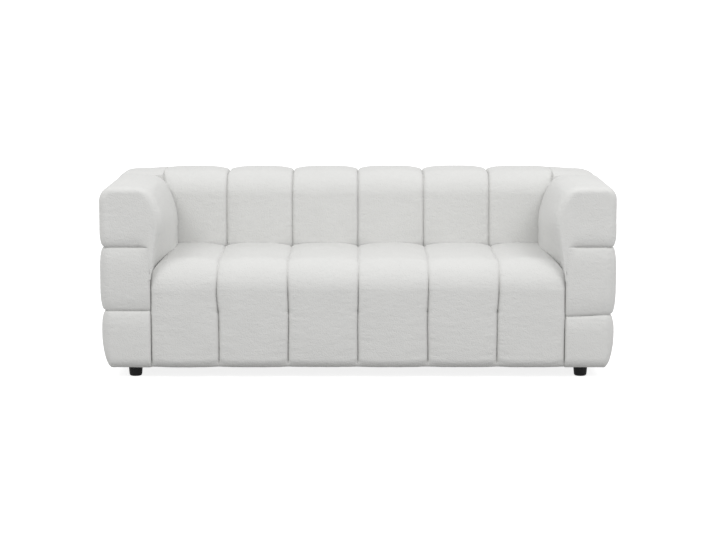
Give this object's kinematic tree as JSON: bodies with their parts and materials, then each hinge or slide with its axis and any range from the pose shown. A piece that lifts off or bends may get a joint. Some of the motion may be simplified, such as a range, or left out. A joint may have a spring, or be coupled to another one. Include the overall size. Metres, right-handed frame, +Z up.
{
  "type": "sofa",
  "caption": "Tuxedo sofa with arms as high as the back, tight channelled seat and back, arms in stacked padded tiers, pale boucle cover and low round feet",
  "frame": {"origin": "on the floor under the middle of the sofa, at the centre of its footprint", "axes": "X along the sofa, to the right of a person who faces it, Y from the front to the back, Z up"},
  "size_m": [2, 0.88, 0.757],
  "materials": {
    "boucle": "looped wool boucle, off-white",
    "foam": "cut polyurethane foam",
    "felt": "grey needled felt",
    "webbing": "woven elastic webbing",
    "timber": "planed softwood",
    "plywood": "birch plywood",
    "fibreboard": "brown hardboard",
    "dust_cloth": "black non-woven cloth",
    "foot_plastic": "black moulded plastic"
  },
  "bodies": {
    "root": {"arm_bolsters": "boucle", "arm_bottom_rail_left": "timber", "arm_bottom_rail_right": "timber", "arm_front_panel_left": "plywood", "arm_front_panel_right": "plywood", "arm_inner_panel_left": "plywood", "arm_inner_panel_right": "plywood", "arm_lower_channels": "boucle", "arm_middle_channels": "boucle", "arm_outer_board_left": "fibreboard", "arm_outer_board_right": "fibreboard", "arm_posts_left": "timber", "arm_posts_right": "timber", "arm_rear_panel_left": "plywood", "arm_rear_panel_right": "plywood", "arm_top_board_left": "plywood", "arm_top_board_right": "plywood", "back_board": "fibreboard", "back_cover": "boucle", "back_end_blocks": "boucle", "back_foam": "foam", "back_top_rail": "timber", "back_uprights": "timber", "back_webbing": "webbing", "dust_cover": "dust_cloth", "feet": "foot_plastic", "felt_pad": "felt", "front_foot_block_left": "timber", "front_foot_block_right": "timber", "outside_back_panel": "boucle", "rear_foot_block_left": "timber", "rear_foot_block_right": "timber", "seat_corner_blocks": "timber", "seat_cover": "boucle", "seat_cross_rail_1": "timber", "seat_cross_rail_2": "timber", "seat_cross_rail_3": "timber", "seat_foam": "foam", "seat_front_rail": "timber", "seat_rear_rail": "timber", "seat_side_rail_left": "timber", "seat_side_rail_right": "timber", "seat_webbing": "webbing"}
  },
  "joints": []
}
